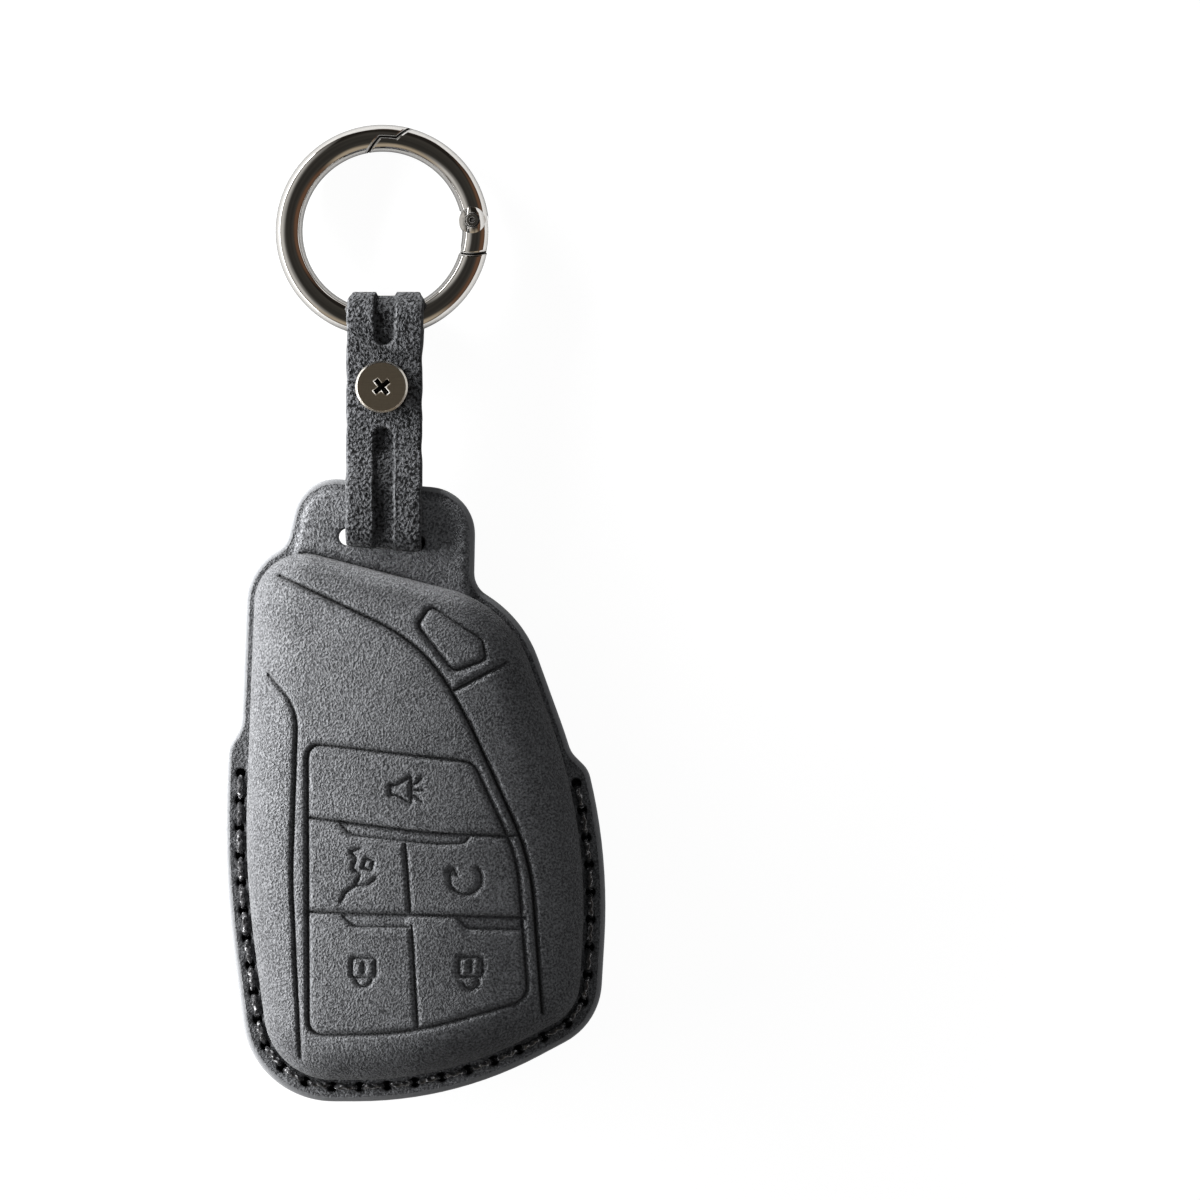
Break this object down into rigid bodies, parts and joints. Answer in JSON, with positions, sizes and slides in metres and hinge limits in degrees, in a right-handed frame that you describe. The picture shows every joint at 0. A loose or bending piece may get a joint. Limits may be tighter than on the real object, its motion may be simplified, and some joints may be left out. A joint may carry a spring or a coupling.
{
  "type": "key fob cover",
  "caption": "Moulded suede-leather cover for a key fob, sewn round its lower half, with a screwed strap through its tab and a hinged spring-gate ring.",
  "frame": {"origin": "centre of the flat rest face on the outside of the back panel", "axes": "+Z out of the front face, +Y from the pocket towards the ring, +X to the right seen from the front"},
  "size_m": [0.0604, 0.1552, 0.0162],
  "materials": {
    "suede": "fine suede nap with painted edges",
    "strap_suede": "coarse suede nap with painted edges",
    "thread": "waxed twisted thread",
    "nickel": "polished nickel plate",
    "dark_nickel": "brushed dark nickel face with a polished rim",
    "spring_steel": "plain spring steel"
  },
  "bodies": {
    "case": {"front_shell": "suede", "back_shell": "suede", "front_stitches": "thread", "back_stitches": "thread", "strap_slot_loop": "strap_suede"},
    "strap": {"strap_ring_loop": "strap_suede", "cap_screw": "dark_nickel", "screw_post": "dark_nickel"},
    "ring": {"ring_body": "nickel"},
    "gate": {"ring_gate": "nickel", "gate_pin": "nickel", "gate_spring": "spring_steel"},
    "plunger": {"spring_plunger": "spring_steel"}
  },
  "joints": [
    {"name": "strap_swing", "type": "hinge", "parent": "case", "child": "strap", "pos_m": [-0.0052, 0.0565, 0.0066], "axis": [1, 0, 0], "range_deg": [-75, 75]},
    {"name": "ring_swing", "type": "hinge", "parent": "strap", "child": "ring", "pos_m": [-0.0052, 0.07448, 0.00451], "axis": [1, 0, 0], "range_deg": [-105, 105]},
    {"name": "gate_open", "type": "hinge", "parent": "ring", "child": "gate", "pos_m": [0.0091, 0.09015, 0.00336], "axis": [0, 0.0732, 0.9973], "range_deg": [0, 26], "stiffness_Nm_per_rad": 0.002, "springref_deg": -28.65},
    {"name": "plunger_slide", "type": "slide", "parent": "gate", "child": "plunger", "axis": [0, 0.9973, -0.0732], "range_m": [0, 0.00053], "deforming": ["gate_spring"]}
  ],
  "couplings": [
    {"joint": "plunger_slide", "follows": "gate_open", "m_per_rad": 0.00115}
  ]
}
